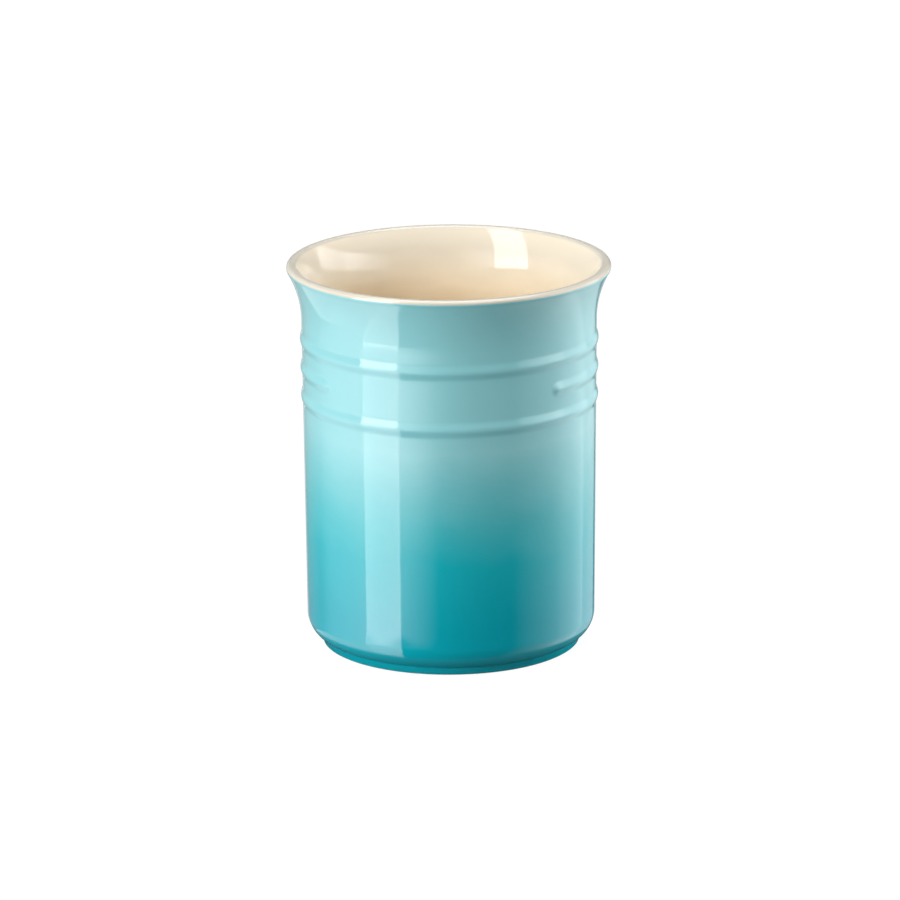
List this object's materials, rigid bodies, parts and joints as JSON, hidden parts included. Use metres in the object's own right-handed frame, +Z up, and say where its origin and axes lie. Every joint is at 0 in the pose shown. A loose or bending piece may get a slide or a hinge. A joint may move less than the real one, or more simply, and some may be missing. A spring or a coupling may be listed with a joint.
{
  "type": "utensil crock",
  "caption": "Round stoneware kitchen crock with a flared lip, raised bands below it and a low foot ring, glazed turquoise to teal outside and cream inside, open at the top to hold utensils.",
  "frame": {"origin": "centre of the standing face of the foot ring, on the surface that the crock stands on", "axes": "+Z up along the axis of the pot, -Y to the front, where the middle band stops on both sides of a bare panel"},
  "size_m": [0.1242, 0.1242, 0.15],
  "materials": {
    "stoneware": "bare fired clay, matt",
    "turquoise_glaze": "gloss glaze, pale at the lip and deep teal at the foot",
    "cream_glaze": "gloss glaze"
  },
  "bodies": {
    "root": {"stoneware_body": "stoneware", "outer_glaze": "turquoise_glaze", "inner_glaze": "cream_glaze", "underside_glaze": "turquoise_glaze"}
  },
  "joints": []
}
